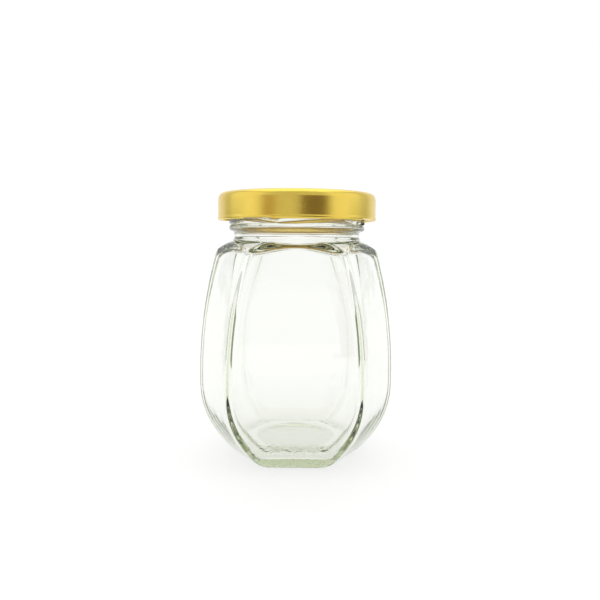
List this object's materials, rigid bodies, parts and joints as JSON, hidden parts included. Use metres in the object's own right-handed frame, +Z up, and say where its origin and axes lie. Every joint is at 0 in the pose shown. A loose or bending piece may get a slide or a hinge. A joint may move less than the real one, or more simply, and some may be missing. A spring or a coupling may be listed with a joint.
{
  "type": "glass honey jar with screw lid",
  "caption": "Empty clear glass honey jar, a six-sided barrel with a wide front and back face and a round neck, closed by a gold metal lug lid.",
  "frame": {"origin": "on the table under the jar's axis, at the middle of the standing ring", "axes": "+Z up the axis to the lid, -Y out of the wide front face, +X to the right across the side corners"},
  "size_m": [0.082, 0.067, 0.11],
  "materials": {
    "clear_glass": "clear pressed and blown glass with a faint green cast, glossy, with a stippled standing ring",
    "gold_lacquer": "gold-tinted lacquer on tinplate, satin gloss"
  },
  "bodies": {
    "root": {"jar": "clear_glass", "lid": "gold_lacquer"}
  },
  "joints": []
}
